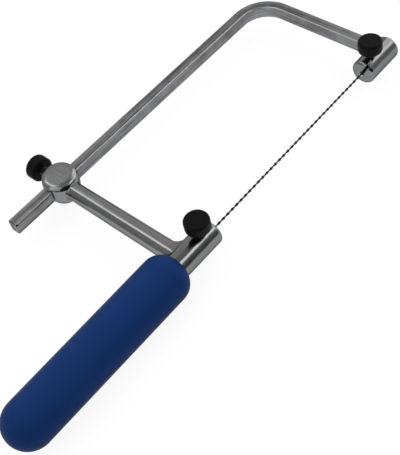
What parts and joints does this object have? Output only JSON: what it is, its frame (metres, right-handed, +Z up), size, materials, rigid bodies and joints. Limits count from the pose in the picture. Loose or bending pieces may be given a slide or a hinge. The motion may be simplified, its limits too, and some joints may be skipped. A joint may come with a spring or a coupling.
{
  "type": "fret saw",
  "caption": "Fret saw with a moulded blue grip, a chromed arm with a round clamp head, a sliding rectangular bow, a twisted blade and black thumb screws.",
  "frame": {"origin": "middle of the part's box, on the bench that it lies on", "axes": "+X along the blade from the grip to the nose, +Y from the blade to the back bar, +Z up, the way the blade screws stand"},
  "size_m": [0.2346, 0.0976, 0.0247],
  "materials": {
    "bar_chrome": "dull drawn chrome",
    "casting_chrome": "bright chrome over a cast surface",
    "grip_blue": "satin moulded plastic",
    "blade_steel": "hardened, toothed and twisted",
    "stud_steel": "zinc-plated thread",
    "knob_black": "satin black plastic"
  },
  "bodies": {
    "handle_frame": {"arm_casting": "casting_chrome", "handle_grip": "grip_blue"},
    "bow": {"bow_bar": "bar_chrome", "front_barrel": "casting_chrome", "saw_blade": "blade_steel"},
    "rear_stud": {"rear_screw": "stud_steel"},
    "rear_thumb": {"rear_knob": "knob_black"},
    "front_stud": {"front_screw": "stud_steel"},
    "front_thumb": {"front_knob": "knob_black"},
    "handle_stud": {"handle_screw": "stud_steel"},
    "handle_thumb": {"handle_knob": "knob_black"}
  },
  "joints": [
    {"name": "bow_slide", "type": "slide", "parent": "handle_frame", "child": "bow", "axis": [1, 0, 0], "range_m": [-0.05, 0.015]},
    {"name": "rear_screw_travel", "type": "slide", "parent": "handle_frame", "child": "rear_stud", "axis": [0, 1, 0], "range_m": [0, 0.0014]},
    {"name": "rear_knob_turn", "type": "hinge", "parent": "rear_stud", "child": "rear_thumb", "pos_m": [-0.0237, 0.03168, 0.01135], "axis": [0, 1, 0], "range_deg": [0, 720]},
    {"name": "front_screw_travel", "type": "slide", "parent": "bow", "child": "front_stud", "axis": [0, 0, 1], "range_m": [0, 0.0014]},
    {"name": "front_knob_turn", "type": "hinge", "parent": "front_stud", "child": "front_thumb", "pos_m": [0.1028, -0.03832, 0.01045], "axis": [0, 0, 1], "range_deg": [0, 720]},
    {"name": "handle_screw_travel", "type": "slide", "parent": "handle_frame", "child": "handle_stud", "axis": [0, 0, 1], "range_m": [0, 0.0014]},
    {"name": "handle_knob_turn", "type": "hinge", "parent": "handle_stud", "child": "handle_thumb", "pos_m": [-0.0129, -0.03832, 0.01045], "axis": [0, 0, 1], "range_deg": [0, 720]}
  ],
  "couplings": [
    {"joint": "rear_knob_turn", "follows": "rear_screw_travel", "rad_per_m": 8975},
    {"joint": "front_knob_turn", "follows": "front_screw_travel", "rad_per_m": 8975},
    {"joint": "handle_knob_turn", "follows": "handle_screw_travel", "rad_per_m": 8975}
  ]
}
